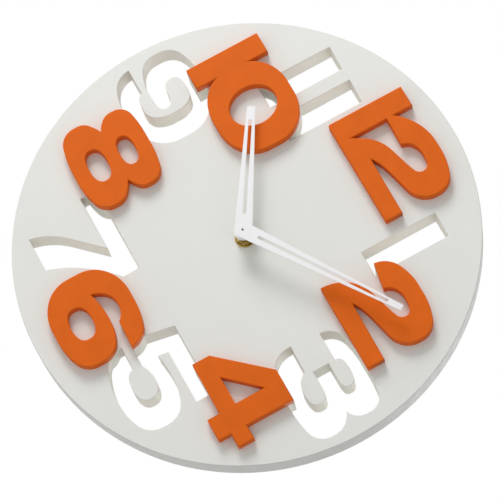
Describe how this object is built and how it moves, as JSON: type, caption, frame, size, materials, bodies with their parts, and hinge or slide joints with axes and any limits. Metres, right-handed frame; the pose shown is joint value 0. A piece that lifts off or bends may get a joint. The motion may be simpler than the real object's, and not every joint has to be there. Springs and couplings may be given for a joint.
{
  "type": "wall clock",
  "caption": "Round analog wall clock: shallow white dial with cut-through odd numerals, raised even numerals, slotted hands and a quartz movement behind the centre.",
  "frame": {"origin": "where the axis of the hands meets the wall, in the plane of the dial's back rim", "axes": "+X towards three o'clock, +Z towards twelve o'clock (up), +Y from the front of the dial into the wall, along the axis of the hands"},
  "size_m": [0.35, 0.0361, 0.35],
  "materials": {
    "dial": "matte",
    "numeral": "matte",
    "hand": "matte",
    "brass": "satin",
    "rubber": "matte",
    "housing": "satin",
    "frame_plastic": "satin",
    "gear": "satin",
    "knob": "satin",
    "magnet": "satin",
    "iron": "satin",
    "winding": "gloss",
    "board": "satin",
    "resin": "satin",
    "plated": "polished",
    "cell": "satin"
  },
  "bodies": {
    "clock": {"dial_shell": "dial", "numeral_12": "numeral", "numeral_2": "numeral", "numeral_4": "numeral", "numeral_6": "numeral", "numeral_8": "numeral", "numeral_10": "numeral", "gasket": "rubber", "washer": "brass", "hex_nut": "brass", "threaded_bushing": "brass", "movement_case": "housing", "back_cover": "housing", "train_plate": "frame_plastic", "stator": "iron", "coil_core": "iron", "coil": "winding", "circuit_board": "board", "clock_chip": "resin", "quartz_crystal": "plated", "contact_plus": "plated", "contact_minus": "plated"},
    "minute": {"centre_wheel": "gear", "minute_hand": "hand"},
    "hour": {"hour_wheel": "gear", "hour_hand": "hand"},
    "motion": {"motion_wheel": "gear"},
    "third": {"third_wheel": "gear"},
    "second": {"second_wheel": "gear"},
    "intermediate": {"intermediate_wheel": "gear"},
    "rotor": {"rotor": "magnet"},
    "setting": {"setting_knob": "knob"},
    "battery": {"battery": "cell"}
  },
  "joints": [
    {"name": "minute_turn", "type": "hinge", "parent": "clock", "child": "minute", "pos_m": [0, -0.03, 0], "axis": [0, 1, 0], "continuous": true},
    {"name": "hour_turn", "type": "hinge", "parent": "clock", "child": "hour", "pos_m": [0, -0.028, 0], "axis": [0, 1, 0], "continuous": true},
    {"name": "motion_turn", "type": "hinge", "parent": "clock", "child": "motion", "pos_m": [-0.00788, -0.011, 0.00139], "axis": [0, 1, 0], "continuous": true},
    {"name": "third_turn", "type": "hinge", "parent": "clock", "child": "third", "pos_m": [0.00827, -0.007, 0.00694], "axis": [0, 1, 0], "continuous": true},
    {"name": "second_turn", "type": "hinge", "parent": "clock", "child": "second", "pos_m": [0, -0.005, 0], "axis": [0, 1, 0], "continuous": true},
    {"name": "intermediate_turn", "type": "hinge", "parent": "clock", "child": "intermediate", "pos_m": [-0.0042, -0.005, 0.00727], "axis": [0, 1, 0], "continuous": true},
    {"name": "rotor_turn", "type": "hinge", "parent": "clock", "child": "rotor", "pos_m": [-0.01044, -0.008, 0.01087], "axis": [0, 1, 0], "continuous": true},
    {"name": "setting_turn", "type": "hinge", "parent": "clock", "child": "setting", "pos_m": [-0.01588, -0.005, 0.00139], "axis": [0, 1, 0], "continuous": true},
    {"name": "battery_slide", "type": "slide", "parent": "clock", "child": "battery", "axis": [0, 1, 0], "range_m": [0, 0.03]}
  ],
  "couplings": [
    {"joint": "hour_turn", "follows": "minute_turn", "ratio": 0.083333},
    {"joint": "motion_turn", "follows": "minute_turn", "ratio": -0.33333},
    {"joint": "third_turn", "follows": "minute_turn", "ratio": -7.5},
    {"joint": "second_turn", "follows": "minute_turn", "ratio": 60},
    {"joint": "intermediate_turn", "follows": "minute_turn", "ratio": -360},
    {"joint": "rotor_turn", "follows": "minute_turn", "ratio": 1800},
    {"joint": "setting_turn", "follows": "minute_turn", "ratio": 1}
  ]
}
